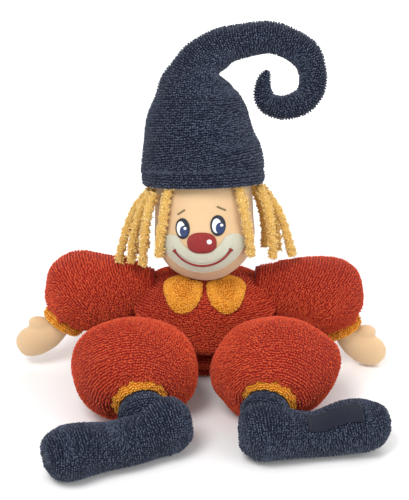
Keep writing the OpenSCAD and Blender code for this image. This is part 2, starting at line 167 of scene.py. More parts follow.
def outward(grid, closed=False):
    """Unit normals of a grid of rings."""
    du = np.roll(grid, -1, 1) - np.roll(grid, 1, 1)
    dv = np.gradient(grid, axis=0)
    if closed:
        dv = np.roll(grid, -1, 0) - np.roll(grid, 1, 0)
    return unit(np.cross(du, dv))


def grid_faces(m, n, closed):
    i = np.arange(m if closed else m - 1)[:, None]
    k = np.arange(n)[None, :]
    j, q = (i + 1) % m, (k + 1) % n
    return np.stack([i * n + k, i * n + q, j * n + q, j * n + k], -1).reshape(-1, 4)


def skin_of(grid, closed=False):
    """Points and faces of a grid; an open one is closed at both ends by a fan to its middle."""
    m, n, _ = grid.shape
    points = grid.reshape(-1, 3)
    quads = grid_faces(m, n, closed)
    fans = np.zeros((0, 3), int)
    if not closed:
        points = np.vstack([points, grid[0].mean(0), grid[-1].mean(0)])
        k = np.arange(n)
        q = (k + 1) % n
        first = np.stack([q, k, np.full(n, m * n)], -1)
        last = np.stack([(m - 1) * n + k, (m - 1) * n + q, np.full(n, m * n + 1)], -1)
        fans = np.vstack([first, last])
    return points, quads, fans


def make_mesh(name, points, quads, triangles, marks=None):
    """A mesh object from arrays in millimetres; marks are named values, one a point."""
    mesh = bpy.data.meshes.new(name)
    mesh.vertices.add(len(points))
    mesh.vertices.foreach_set("co", (np.asarray(points) * MM).astype(np.float32).ravel())
    corners = np.concatenate([quads.ravel(), triangles.ravel()]).astype(np.int32)
    sizes = np.concatenate([np.full(len(quads), 4), np.full(len(triangles), 3)]).astype(np.int32)
    starts = np.concatenate([[0], np.cumsum(sizes)[:-1]]).astype(np.int32)
    mesh.loops.add(len(corners))
    mesh.loops.foreach_set("vertex_index", corners)
    mesh.polygons.add(len(sizes))
    mesh.polygons.foreach_set("loop_start", starts)
    mesh.update(calc_edges=True)
    for key, values in (marks or {}).items():
        layer = mesh.attributes.new(key, "FLOAT", "POINT")
        layer.data.foreach_set("value", np.asarray(values, np.float32))
    mesh.polygons.foreach_set("use_smooth", np.ones(len(sizes), bool))
    mesh.update()
    made = bpy.data.objects.new(name, mesh)
    view.collection.objects.link(made)
    return made


# ---- cloth: a closed skin under pressure, sewn fast at its ends ----
SIM_SCALE = 10
SIM_FRAMES = 20


def inflate(grid, pins=(2, 2), pressure=4.0, spare=0.06, cap=5.0):
    """The grid after its skin, cut a little large, is blown up; overall size is kept, folds stay."""
    m, n, _ = grid.shape
    points, quads, fans = skin_of(grid)
    made = make_mesh("cloth_try", points * SIM_SCALE, quads, fans)
    held = made.vertex_groups.new(name="held")
    fast = np.concatenate([np.arange(pins[0] * n), np.arange((m - pins[1]) * n, m * n + 2)])
    held.add([int(i) for i in fast], 1.0, "REPLACE")
    cloth = made.modifiers.new("cloth", "CLOTH")
    rule = cloth.settings
    rule.quality = 5
    rule.mass = 0.2
    rule.tension_stiffness = rule.compression_stiffness = 12
    rule.shear_stiffness = 6
    rule.bending_stiffness = 0.4
    rule.use_pressure = True
    rule.uniform_pressure_force = pressure
    rule.effector_weights.gravity = 0
    rule.vertex_group_mass = "held"
    rule.shrink_min = -spare
    cloth.point_cache.frame_start, cloth.point_cache.frame_end = 1, SIM_FRAMES
    for f in range(1, SIM_FRAMES + 1):
        view.frame_set(f)
    shown = made.evaluated_get(bpy.context.evaluated_depsgraph_get())
    flat = np.zeros(len(points) * 3, np.float32)
    shown.data.vertices.foreach_get("co", flat)
    bpy.data.objects.remove(made, do_unlink=True)
    view.frame_set(1)
    after = flat.reshape(-1, 3)[: m * n].reshape(m, n, 3) / MM / SIM_SCALE
    move = after - grid
    normal = outward(grid)
    growth = (move * normal).sum(-1, keepdims=True)
    fade = np.minimum(1, np.minimum(np.arange(m), np.arange(m)[::-1]) / 4.0)[:, None, None]
    move -= normal * growth.mean() * fade
    size = np.linalg.norm(move, axis=-1, keepdims=True)
    move *= np.minimum(1, cap / np.maximum(size, 1e-6))
    return grid + move


# ---- terry: one slanted loop, copied in rows all over a grid ----
LOOP_SIDES = 5


def loop_template():
    turn = TAU * np.arange(LOOP_SIDES) / LOOP_SIDES
    ring = np.stack([np.zeros(LOOP_SIDES), np.cos(turn), np.sin(turn)], -1)
    points = np.vstack([[(-0.25, 0, 0)], ring * 0.9 + (0.15, 0, 0), ring * 0.85 + (0.7, 0, 0), [(1, 0, 0)]])
    k = np.arange(LOOP_SIDES)
    q = (k + 1) % LOOP_SIDES
    low, high, top = 1 + k, 1 + LOOP_SIDES + k, 1 + 2 * LOOP_SIDES
    faces = np.vstack([
        np.stack([np.zeros(LOOP_SIDES, int), 1 + q, low], -1),
        np.stack([low, 1 + q, 1 + LOOP_SIDES + q], -1),
        np.stack([low, 1 + LOOP_SIDES + q, high], -1),
        np.stack([high, 1 + LOOP_SIDES + q, np.full(LOOP_SIDES, top)], -1)])
    rise = np.concatenate([[0.0], np.full(LOOP_SIDES, 0.35), np.full(LOOP_SIDES, 0.85), [1.0]])
    return points, faces, rise


LOOP_POINTS, LOOP_FACES, LOOP_RISE = loop_template()


def tufts(place, axis, half, length, width):
    """Copies of the loop: from each place along its axis, half is the direction of its flat side."""
    axis = unit(axis)
    one = unit(np.cross(axis, half))
    two = np.cross(axis, one)
    t = LOOP_POINTS
    points = (place[:, None] + axis[:, None] * (t[:, 0:1] * length[:, None, None])
              + one[:, None] * (t[:, 1:2] * width[:, None, None])
              + two[:, None] * (t[:, 2:3] * width[:, None, None] * 0.9))
    faces = LOOP_FACES[None] + (np.arange(len(place)) * len(t))[:, None, None]
    return points.reshape(-1, 3), faces.reshape(-1, 3)


def sample(grid, v, u):
    m, n, _ = grid.shape
    v = np.clip(v, 0, m - 1.001)
    i = v.astype(int)
    fv = (v - i)[:, None]
    w = (u % 1) * n
    k = w.astype(int) % n
    fu = (w - np.floor(w))[:, None]
    q = (k + 1) % n
    a, b, c, d = grid[i, k], grid[i, q], grid[i + 1, q], grid[i + 1, k]
    point = (a * (1 - fu) + b * fu) * (1 - fv) + (d * (1 - fu) + c * fu) * fv
    du = (b - a) * (1 - fv) + (c - d) * fv
    dv = (d - a) * (1 - fu) + (c - b) * fu
    return point, unit(np.cross(du, dv)), unit(du), unit(dv)


def pile(grid, row=2.2, step=1.9, length=2.5, width=0.78, lean=0.62, ends=(0, 0)):
    """Rows of loops on a grid of rings, all leaning one way, a little uneven."""
    m, n, _ = grid.shape
    gaps = np.linalg.norm(grid[1:] - grid[:-1], axis=2)
    run = np.concatenate([[0], np.cumsum(0.5 * gaps.max(1) + 0.5 * gaps.mean(1))])
    at = np.interp(np.arange(row / 2 + ends[0], run[-1] - ends[1], row), run, np.arange(m))
    vs, us = [], []
    for number, v in enumerate(at):
        ring = sample(grid, np.full(n, v), np.arange(n) / n)[0]
        round_way = np.linalg.norm(np.roll(ring, -1, 0) - ring, axis=1)
        count = int(round_way.sum() / step)
        if count < 4:
            continue
        spread = np.concatenate([[0], np.cumsum(round_way)]) / round_way.sum()
        place = (np.arange(count) + 0.5 * (number % 2)) / count
        us.append(np.interp(place, spread, np.arange(n + 1) / n))
        vs.append(np.full(count, v))
    v, u = np.concatenate(vs), np.concatenate(us)
    count = len(v)
    v = v + dice.normal(0, 0.05, count)
    point, normal, du, dv = sample(grid, v, u)
    point = point + du * dice.normal(0, 0.22, (count, 1)) + dv * dice.normal(0, 0.12, (count, 1))
    swing = dice.normal(0, 0.28, (count, 1))
    axis = du * (1 - lean * 0.5) * np.cos(swing) + dv * np.sin(swing) * 0.8 + normal * lean
    size = dice.uniform(0.8, 1.2, count)
    thick = width * dice.uniform(0.85, 1.15, count)
    points, faces = tufts(point - normal * 0.35, axis, dv, length * size, thick)
    tone = np.repeat(dice.uniform(0, 1, count), len(LOOP_POINTS))
    return points, faces, np.tile(LOOP_RISE, count), tone


def terry_piece(name, grid, look, closed=False, fur=None, **rows):
    """A terry piece: its cloth and its loops in one mesh."""
    points, quads, fans = skin_of(grid, closed)
    hair, blades, tip, tone = pile(grid if fur is None else fur, **rows)
    # The cloth under the loops gets tip 0, the loop-root colour: painted shade in the gaps between loops.
    marks = {"tip": np.concatenate([np.zeros(len(points)), tip]),
             "tone": np.concatenate([np.full(len(points), 0.5), tone])}
    made = make_mesh(name, np.vstack([points, hair]), quads, np.vstack([fans, blades + len(points)]), marks)
    made.data.materials.append(look)
    return made


def plain_piece(name, grid, look):
    made = make_mesh(name, *skin_of(grid))
    made.data.materials.append(look)
    return made


# ---- materials: sockets that take part in arithmetic ----
class Value:
    """A node's output; every operator on it adds its Math node."""

    def __init__(self, look, socket):
        self.look, self.socket = look, socket

    def _math(self, operation, other=None, swapped=False):
        pair = (self,) if other is None else (other, self) if swapped else (self, other)
        return self.look.node("ShaderNodeMath", {"operation": operation}, dict(enumerate(pair)))

    def __add__(self, other):
        return self._math("ADD", other)

    def __radd__(self, other):
        return self._math("ADD", other, True)

    def __sub__(self, other):
        return self._math("SUBTRACT", other)

    def __rsub__(self, other):
        return self._math("SUBTRACT", other, True)

    def __mul__(self, other):
        return self._math("MULTIPLY", other)

    def __rmul__(self, other):
        return self._math("MULTIPLY", other, True)

    def sine(self):
        return self._math("SINE")


class Look:
    """One material with its nodes."""

    def __init__(self, name, roughness=0.9, sheen=0.0, specular=0.3):
        self.material = bpy.data.materials.new(name)
        self.material.use_nodes = True
        self.nodes = self.material.node_tree.nodes
        self.links = self.material.node_tree.links
        self.nodes.clear()
        self.shader = self.nodes.new("ShaderNodeBsdfPrincipled")
        end = self.nodes.new("ShaderNodeOutputMaterial")
        self.links.new(self.shader.outputs[0], end.inputs[0])
        self.shader.inputs["Roughness"].default_value = roughness
        self.shader.inputs["Sheen Weight"].default_value = sheen
        self.shader.inputs["Sheen Roughness"].default_value = 0.5
        self.shader.inputs["Specular IOR Level"].default_value = specular

    def put(self, socket, value):
        if isinstance(value, Value):
            self.links.new(value.socket, socket)
        else:
            socket.default_value = value

    def node(self, kind, settings=None, inputs=None, output=0):
        made = self.nodes.new(kind)
        for key, value in (settings or {}).items():
            if key == "stops":
                ramp = made.color_ramp
                while len(ramp.elements) < len(value):
                    ramp.elements.new(0.5)
                for element, (place, colour) in zip(ramp.elements, value):
                    element.position, element.color = place, colour
            else:
                setattr(made, key, value)
        for key, value in (inputs or {}).items():
            self.put(made.inputs[key], value)
        return Value(self, made.outputs[output])

    def objects(self):
        return self.node("ShaderNodeTexCoord", output="Object")

    def noise(self, scale, detail=2.0):
        return self.node("ShaderNodeTexNoise", None,
                         {"Vector": self.objects(), "Scale": scale, "Detail": detail})

    def mark(self, name):
        return self.node("ShaderNodeAttribute", {"attribute_name": name}, output="Fac")

    def blend(self, one, two, share):
        return self.node("ShaderNodeMix", {"data_type": "RGBA"}, {0: share, 6: one, 7: two}, output=2)

    def bump(self, height, strength, distance):
        return self.node("ShaderNodeBump", None,
                         {"Height": height, "Strength": strength, "Distance": distance})

    def finish(self, colour, normal=None):
        self.put(self.shader.inputs["Base Color"], colour)
        if normal is not None:
            self.put(self.shader.inputs["Normal"], normal)
        return self.material


def rgb(r, g, b):
    return (r, g, b, 1.0)


def terry_look(name, root_shade, middle, light, fleck=0.6, sheen=0.12):
    """Painted shade: loops are dark at the root and lighter at the tip; some loops, picked at random, are lighter
    than others at the tip.
    """
    look = Look(name, roughness=0.95, sheen=sheen, specular=0.15)
    tip, tone = look.mark("tip"), look.mark("tone")
    patchy = look.noise(38)
    # Painted shade at the loop roots, lighter towards the tips; random patches also blend towards the root
    # colour.
    colour = look.blend(root_shade, middle, tip)
    colour = look.blend(colour, light, tip * tone * fleck)
    colour = look.blend(colour, root_shade, (patchy - 0.35) * 0.35)
    fuzz = look.noise(1900, 3)
    return look.finish(colour, look.bump(fuzz, 0.35, 0.0008))


def velour_look(name, base, shade, light):
    look = Look(name, roughness=0.85, sheen=0.35, specular=0.2)
    patchy, nap = look.noise(45, 3), look.noise(1300, 4)
    colour = look.blend(base, shade, (patchy - 0.3) * 0.7)
    colour = look.blend(colour, light, nap * 0.35)
    return look.finish(colour, look.bump(nap, 0.5, 0.0006))


def thread_look(name, base, light, turn=0.0, roughness=0.55):
    """Satin stitch: fine parallel threads across the shape, each lighter on its ridge as a painted highlight."""
    look = Look(name, roughness=roughness, sheen=0.1, specular=0.4)
    x = look.node("ShaderNodeSeparateXYZ", None, {0: look.objects()})
    z = Value(look, x.socket.node.outputs[2])
    lay = x * (math.cos(turn) * 9000) + z * (math.sin(turn) * 9000)
    ridge = lay.sine() * 0.5 + 0.5
    patchy = look.noise(400, 2)
    # Painted highlight: the lighter colour follows the crest of each thread's ridge.
    colour = look.blend(base, light, ridge * patchy)
    return look.finish(colour, look.bump(ridge, 0.6, 0.0003))


def yarn_look(name, base, shade, light):
    look = Look(name, roughness=0.8, sheen=0.3, specular=0.25)
    tip, tone = look.mark("tip"), look.mark("tone")
    colour = look.blend(shade, base, tip)
    colour = look.blend(colour, light, tip * tone * 0.7)
    fibre = look.noise(1500, 3)
    return look.finish(colour, look.bump(fibre, 0.6, 0.0008))


# The first colour of each terry is painted shade, at the loop roots and on the cloth under the loops.
RED = terry_look("red_terry", rgb(0.22, 0.012, 0.006), rgb(0.60, 0.045, 0.014), rgb(0.88, 0.16, 0.05))
ORANGE = terry_look("orange_terry", rgb(0.48, 0.14, 0.006), rgb(0.86, 0.36, 0.02), rgb(0.98, 0.58, 0.11))
NAVY = terry_look("navy_terry", rgb(0.005, 0.008, 0.020), rgb(0.018, 0.026, 0.055), rgb(0.13, 0.16, 0.23),
                  0.8)
SKIN = velour_look("skin_velour", rgb(0.66, 0.45, 0.25), rgb(0.55, 0.35, 0.18), rgb(0.78, 0.58, 0.36))
YARN = yarn_look("yellow_yarn", rgb(0.88, 0.56, 0.13), rgb(0.50, 0.26, 0.04), rgb(0.99, 0.84, 0.42))
# The second colour of each thread look is its painted highlight on the thread ridges.
BLUE_THREAD = thread_look("navy_thread", rgb(0.006, 0.009, 0.022), rgb(0.022, 0.03, 0.06))
IRIS_THREAD = thread_look("iris_thread", rgb(0.012, 0.03, 0.11), rgb(0.03, 0.06, 0.2), 1.2)
WHITE_THREAD = thread_look("pale_thread", rgb(0.80, 0.80, 0.78), rgb(0.95, 0.95, 0.93))
SEAM_THREAD = thread_look("seam_thread", rgb(0.62, 0.60, 0.48), rgb(0.72, 0.70, 0.58))
WINE_THREAD = thread_look("dark_red_thread", rgb(0.22, 0.008, 0.008), rgb(0.40, 0.02, 0.02), 0.6)
PATCH_THREAD = thread_look("patch_thread", rgb(0.56, 0.56, 0.44), rgb(0.66, 0.66, 0.54), 1.57, 0.85)
BROWN_THREAD = thread_look("brown_thread", rgb(0.17, 0.11, 0.04), rgb(0.27, 0.19, 0.08), 0.9)
LABEL = thread_look("label_weave", rgb(0.004, 0.006, 0.016), rgb(0.012, 0.016, 0.034), 0.0, 0.95)


# ---- sizes shared with the solids ----
NECK = np.array([0, -9, 86.0])
HEAD_R = 42.5
HEAD_RISE = 26
HEAD_MIDDLE = NECK + (0, 0, math.sqrt(HEAD_R ** 2 - 16 ** 2))
SHOULDER = np.array([57, -9, 71.0])
HIP = np.array([36, -58, 34.0])
LEAN = (Matrix.Rotation(math.radians(-5.6), 3, "Z") @ Matrix.Rotation(math.radians(-3.5), 3, "Y")
        @ Matrix.Rotation(math.radians(-20), 3, "X"))
LEAN = np.array(LEAN)


def on_head(points):
    return points @ LEAN.T + HEAD_MIDDLE


def on_side(points, side, pivot, drop=0.0):
    """Mirrors for the -X side, turns about Y by drop degrees and moves to the pivot."""
    points = np.asarray(points, float).copy()
    if side < 0:
        points[..., 0] *= -1
        if points.ndim == 3:
            points = points[:, ::-1]
    turn = np.array(Matrix.Rotation(math.radians(drop), 3, "Y"))
    return points @ turn.T + pivot * (side, 1, 1)


def settle(grid, low=1.2):
    grid[..., 2] = np.maximum(grid[..., 2], low)
    return grid


# ---- hair: yarn strands that hang from under the hat ----
LEFT_HAIR = [
    [(-46, 6, 155), (-57, 1, 144), (-65, -6, 128), (-70, -11, 112), (-73, -14, 97)],
    [(-45, -6, 159), (-53, -13, 148), (-58, -19, 132), (-61, -21, 116), (-62, -23, 102)],
    [(-41, -18, 165), (-46, -25, 153), (-49, -29, 139), (-51, -31, 122), (-52, -31, 104)],
    [(-29, -26, 174), (-32, -32, 163), (-34, -36, 149), (-37, -38, 133), (-38, -38, 116)],
    [(-45, 18, 151), (-53, 16, 138), (-58, 12, 124), (-60, 8, 108), (-60, 5, 96)],
    [(-41, 29, 146), (-48, 28, 134), (-51, 26, 120), (-52, 24, 104), (-52, 22, 92)]]
RIGHT_HAIR = [
    [(48, 4, 160), (58, -2, 148), (66, -8, 134), (71, -12, 118), (75, -14, 104)],
    [(46, -9, 165), (52, -16, 154), (55, -21, 140), (57, -24, 124), (58, -25, 108)],
    [(27, -25, 176), (31, -32, 165), (34, -37, 151), (37, -39, 134), (39, -39, 117)],
    [(46, 17, 156), (54, 14, 144), (59, 10, 130), (62, 6, 114), (63, 4, 100)],
    [(40, 29, 150), (47, 28, 138), (51, 26, 124), (53, 24, 108), (53, 22, 94)]]
BACK_HAIR = [
    [(-30, 40, 142), (-34, 42, 130), (-37, 41, 116), (-38, 39, 100)],
    [(-16, 47, 139), (-18, 49, 127), (-19, 48, 113), (-20, 45, 97)],
    [(0, 50, 139), (0, 52, 126), (0, 51, 112), (0, 48, 96)],
    [(16, 47, 141), (18, 49, 128), (19, 48, 114), (20, 45, 98)],
    [(30, 40, 144), (34, 42, 132), (37, 41, 118), (38, 39, 102)]]


def yarn_strand(group, route):
    """A thick looped yarn: a twisted core with curls all round and a frayed end."""
    line = smooth_path([[*p, 1, 1] for p in route], 16)
    core = rings([[*p, 3.7, 3.7] for p in route], (0, 1, 0), 16, 10)
    m, n, _ = core.shape
    middle = core.mean(1, keepdims=True)
    twist = np.arange(m)[:, None] * 0.9 + TAU * np.arange(n) / n * 2
    core = middle + (core - middle) * (0.92 + 0.16 * np.sin(twist))[..., None]
    points, quads, fans = skin_of(core)
    count = 380
    v = dice.uniform(0, m - 1, count)
    place, normal, du, dv = sample(core, v, dice.uniform(0, 1, count))
    axis = normal * 0.75 + du * dice.normal(0, 0.8, (count, 1)) + dv * dice.normal(0, 0.6, (count, 1))
    size = dice.uniform(1.6, 3.1, count)
    curls, faces = tufts(place - normal * 0.5, axis, dv, size, np.full(count, 0.62))
    tail = 26
    spread = np.clip(dice.normal(0, 1, (tail, 3)), -1.3, 1.3)
    down = unit(line[-1, :3] - line[-4, :3])
    root = line[-1, :3] + spread * 1.1 - down * 2.5
    ends, more = tufts(root, down + spread * 0.22, spread + (0.1, 0.2, 0.3),
                       dice.uniform(2.2, 4.0, tail), np.full(tail, 0.5))
    all_points = np.vstack([points, curls, ends])
    triangles = np.vstack([fans, faces + len(points), more + len(points) + len(curls)])
    each = len(LOOP_POINTS)
    tone = np.repeat(dice.uniform(0, 1, count + tail), each)
    marks = {"tip": np.concatenate([np.full(len(points), 0.25), np.tile(LOOP_RISE, count + tail)]),
             "tone": np.concatenate([np.full(len(points), 0.4), tone])}
    made = make_mesh("yarn_" + group, all_points, quads, triangles, marks)
    made.data.materials.append(YARN)
    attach(made, "head")
    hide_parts("hair_" + group)


for group, routes in (("left", LEFT_HAIR), ("right", RIGHT_HAIR), ("back", BACK_HAIR)):
    for number, route in enumerate(routes, 1):
        yarn_strand(f"{group}_{number}", route)


def soft(made, fill, slot, *nodes):
    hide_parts(*nodes)


# ---- glove body ----
TORSO = [[0, 0, 8.5, 46, 43], [0, -6, 20, 57, 42], [0, -11, 41, 62, 43], [0, -11, 61.5, 63, 42],
         [0, -10, 74, 54, 35], [0, -9, 82, 33, 24], [0, -9, 85.5, 18, 16]]


def chest_folds(grid):
    """A bib-like fold runs from the armpits down to the middle, with a roll of cloth under it."""
    x, y, z = grid[..., 0], grid[..., 1], grid[..., 2]
    front = np.clip((-11 - y) / 30, 0, 1)
    above = z - (31 + 0.0085 * x * x)
    push = 8.5 * np.exp(-((above - 7) / 9) ** 2) - 8.0 * np.exp(-((above + 3) / 3.2) ** 2)
    push += 5.0 * np.exp(-((above + 13) / 7) ** 2)
    push *= front
    push += 1.2 * soft_noise(grid, 45, 3)
    flat = outward(grid) * (1, 1, 0.3)
    return grid + flat * push[..., None]


outer = rings(TORSO, (0, 1, 0), 8, 120, True)
outer = chest_folds(outer)
seam = np.abs(np.cos(TAU * np.arange(120) / 120))
dent = np.exp(-((1 - seam) / 0.0022) ** 2) * 1.3
outer = outer - outward(outer) * dent[None, :, None]
inner = outer - outward(outer) * 1.8
torso = terry_piece("torso_cloth", np.concatenate([outer, inner[::-1]]), RED, closed=True, fur=outer)
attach(torso, "torso")
soft(torso, None, "red_terry", "torso_front_panel", "torso_back_panel")

hem = band((0, 0, 0), (0, 0, 1), round_profile(38, 42.6, 1.0, 9, 0.6), 96, 22, 0.06)
hem_piece = terry_piece("hem_roll", hem, RED, closed=True, fur=hem[:10])
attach(hem_piece, "torso")
soft(hem_piece, None, "red_terry", "glove_hem")

neck = rings([[0, -9, 66, 13.9, 13.9], [0, -9, 78, 13, 13], [0, -9, 85, 12.5, 12.5], [0, -9, 92, 13.6, 13.6]],
             (0, 1, 0), 4, 48, True)
gather = 1 + 0.05 * np.sin(14 * TAU * np.arange(48) / 48)
middle = neck.mean(1, keepdims=True)
neck = middle + (neck - middle) * gather[None, :, None]
neck_in = middle + (neck - middle) * 0.86
neck_piece = terry_piece("neck_gather", np.concatenate([neck, neck_in[::-1]]), RED, closed=True, fur=neck)
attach(neck_piece, "neck")
soft(neck_piece, None, "red_terry", "neck_tube")


def collar(name, side):
    """A rounded lobe of terry that lies on the chest, from the neck out and down."""
    points, quads, _ = skin_of(outer)
    tree = BVHTree.FromPolygons([Vector(p) for p in points], [tuple(map(int, q)) for q in quads])
    corners = [(1.0, -20), (1.2, -30), (2.2, -40), (6, -46.5), (12, -49.5), (18, -49.8), (25, -47.5),
               (30, -43), (33, -36), (35, -28), (33, -21), (26, -18), (17, -17.5), (8, -18)]
    edge = smooth_path([[x, y, 0, 0, 0] for x, y in corners + corners[:1]], 5)[:-1, :2]
    heart = np.array([17.0, -33])
    levels = np.concatenate([np.linspace(0.04, 0.9, 10), [0.96, 1.0, 0.985]])
    rows = []
    for level in levels:
        flat = heart + (edge - heart) * level
        thick = 3.4 * max(0.0, 1 - level ** 7) ** 0.5 + 0.9
        if level == levels[-1]:
            thick = 0.35
        ring = []
        for x, y in flat:
            hit = tree.ray_cast(Vector((side * x, y, 130)), Vector((0, 0, -1)))
            place, normal = hit[:2] if hit[0] else ((side * x, y, 60), (0, -1, 0))
            ring.append(np.array(place) + np.array(normal) * thick)
        rows.append(ring)
    grid = np.array(rows)
    for _ in range(3):
        grid = 0.5 * grid + 0.25 * (np.roll(grid, 1, 1) + np.roll(grid, -1, 1))
        grid[1:-1] = 0.5 * grid[1:-1] + 0.25 * (grid[2:] + grid[:-2])
    if (np.cross(grid[4, 1] - grid[4, 0], grid[5, 0] - grid[4, 0])[2]) < 0:
        grid = grid[:, ::-1]
    made = terry_piece(f"{name}_collar_lobe", grid, ORANGE, fur=grid[:-1], row=2.1, step=1.8, length=2.1)
    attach(made, "torso")
    soft(made, None, "orange_terry", f"collar_{name}")


collar("left", -1)
collar("right", 1)


# ---- head: a velour ball with sewn features ----
def head_radius(z):
    """Radius of the head at a height above its middle."""
    if z < 0:
        return math.sqrt(max(HEAD_R ** 2 - z * z, 0))
    if z < HEAD_RISE:
        return HEAD_R - z / HEAD_RISE
    return math.sqrt(max((HEAD_R - 1) ** 2 - (z - HEAD_RISE) ** 2, 0))


heights = list(-HEAD_R * np.cos(np.linspace(0.03, math.pi / 2, 26)))
heights += [4, 8, 12, 16, 20, 24, 28] + list(28 + 38 * np.sin(np.linspace(0.15, 1.53, 14)))
ball = rings([[0, 0, z, head_radius(z), head_radius(z)] for z in heights], (0, 1, 0), 1, 96, True)
ball = ball + outward(ball) * 0.35 * soft_noise(ball, 26, 5)[..., None]
head = plain_piece("head_ball", on_head(ball), SKIN)
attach(head, "head")
soft(head, 0.9, "skin_velour", "face_panel", "head_back_panel", "head_stuffing", "head_finger_pocket")


def on_ball(x, z, lift):
    """Points of a front-view outline wrapped on the ball and raised by lift."""
    radius = np.array([head_radius(q) for q in z.ravel()]).reshape(z.shape)
    y = -np.sqrt(np.maximum(radius ** 2 - x ** 2, 1))
    point = np.stack([x, y, z], -1)
    normal = unit(point * (1, 1, 0) + np.stack([0 * x, 0 * x, np.minimum(z, 0)], -1))
    return point + normal * np.asarray(lift)[..., None]


def stitched(name, centre, outline, height, look, slot, nodes, base=0.2, crown=1.0):
    """A raised satin-stitched shape; outline gives [x, z] about its centre in the head's front view."""
    outline = np.array(outline, float)
    levels = np.concatenate([np.linspace(0.02, 1, 14), [1.0]])
    flat = np.array(centre) + outline[None] * levels[:, None, None]
    rise = height * np.maximum(1 - (levels * 0.96) ** (2 + 2 * crown), 0) ** 0.5 + base
    rise[-1] = -0.5
    lift = np.repeat(rise[:, None], len(outline), 1)
    grid = on_head(on_ball(flat[..., 0], flat[..., 1], lift))
    if np.cross(grid[4, 1] - grid[4, 0], grid[5, 0] - grid[4, 0]) @ (LEAN @ (0, -1, 0)) < 0:
        grid = grid[:, ::-1]
    made = plain_piece(name, grid, look)
    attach(made, "head")
    soft(made, None, slot, *nodes)


def oval(a, b, count=56):
    t = TAU * np.arange(count) / count
    return np.stack([a * np.cos(t), b * np.sin(t)], -1)


def arc_points(radius, half_angle, count):
    t = np.radians(np.linspace(-90 - half_angle, -90 + half_angle, count))
    return np.stack([radius * np.cos(t), radius * np.sin(t)], -1)


def ribbon(name, line, half, height, look, slot, nodes, base, tips=0.0):
    """A stitched line: a low rope wrapped on the ball along points of the front view."""
    line = np.array(line, float)
    ahead = unit(np.gradient(line, axis=0))
    side = np.stack([-ahead[:, 1], ahead[:, 0]], -1)
    share = np.linspace(0, 1, len(line))
    wide = half * (1 + tips * (np.exp(-((share) / 0.03) ** 2) + np.exp(-((1 - share) / 0.03) ** 2)))
    wide *= np.sqrt(np.clip(np.minimum(share, 1 - share) / 0.012, 0.08, 1))
    turn = TAU * np.arange(12) / 12
    flat = line[:, None] + side[:, None] * (wide[:, None] * np.cos(turn))[..., None]
    lift = base + height * (0.5 + 0.5 * np.sin(turn))[None] * np.minimum(wide / half, 1.2)[:, None]
    lift += 0.12 * np.sin(np.arange(len(line)) * 2.1)[:, None] * (np.sin(turn) > 0)
    grid = on_head(on_ball(flat[..., 0], flat[..., 1], lift))
    if np.cross(grid[4, 4] - grid[4, 3], grid[5, 3] - grid[4, 3]) @ (LEAN @ (0, -1, 0)) < 0:
        grid = grid[:, ::-1]
    made = plain_piece(name, grid, look)
    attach(made, "head")
    soft(made, None, slot, *nodes)


EYES = {"left": (-13.4, 6.5), "right": (15.6, 8.6)}
BROWS = {"left": (-14.3, 19.9, 33), "right": (18.6, 22.5, -27)}
for name in ("left", "right"):
    node = f"{name}_eye"
    x, z = EYES[name]
    stitched(f"{name}_eye_edge", (x, z), oval(6.1, 8.6), 0.9, BLUE_THREAD, "navy_thread", [node])
    stitched(f"{name}_eye_white", (x - 0.9, z), oval(3.8, 6.2), 0.5, WHITE_THREAD, "pale_thread", [node],
             base=0.75)
    stitched(f"{name}_eye_iris", (x + 1.5, z - 2.1), oval(3.5, 4.6), 0.45, IRIS_THREAD, "navy_thread", [node],
             base=1.1)
    stitched(f"{name}_eye_glint", (x + 2.6, z + 0.3), oval(1.2, 1.2), 0.3, WHITE_THREAD, "pale_thread",
             [node], base=1.6)
    x, z, slope = BROWS[name]
    slope = math.radians(slope)
    ends = [(x + k * math.cos(slope), z + k * math.sin(slope)) for k in np.linspace(-4, 4, 24)]
    ribbon(f"{name}_brow", ends, 0.7, 0.7, BROWN_THREAD, "brown_thread", [f"{name}_eyebrow"], 0.1)


def plump(a, b, power=2.4, count=64):
    """An oval with fuller corners."""
    t = TAU * np.arange(count) / count
    c, s = np.cos(t), np.sin(t)
    return np.stack([a * np.sign(c) * np.abs(c) ** (2 / power),
                     b * np.sign(s) * np.abs(s) ** (2 / power)], -1)


stitched("nose_pad", (2.3, -5.4), plump(11.9, 8.7), 2.8, WINE_THREAD, "dark_red_thread", ["nose"], crown=0.4)
stitched("nose_glint", (8.1, -4.1), oval(2.2, 2.0), 0.5, WHITE_THREAD, "pale_thread", ["nose"], base=2.5)

PATCH_R, PATCH_HALF, PATCH_ANGLE = 28.6, 8.5, 63


def patch_outline():
    """Outline of the smile-shaped patch, with round ends."""
    low, high = -90 - PATCH_ANGLE, -90 + PATCH_ANGLE
    def bow(cx, cz, r, a, b, count):
        t = np.radians(np.linspace(a, b, count))
        return np.stack([cx + r * np.cos(t), cz + r * np.sin(t)], -1)
    end = math.radians(high)
    start = math.radians(low)
    return np.vstack([
        bow(0, 0, PATCH_R + PATCH_HALF, low, high, 40)[:-1],
        bow(PATCH_R * math.cos(end), PATCH_R * math.sin(end), PATCH_HALF, high, high + 180, 14)[:-1],
        bow(0, 0, PATCH_R - PATCH_HALF, high, low, 40)[:-1],
        bow(PATCH_R * math.cos(start), PATCH_R * math.sin(start), PATCH_HALF, low + 180, low + 360, 14)[:-1]])


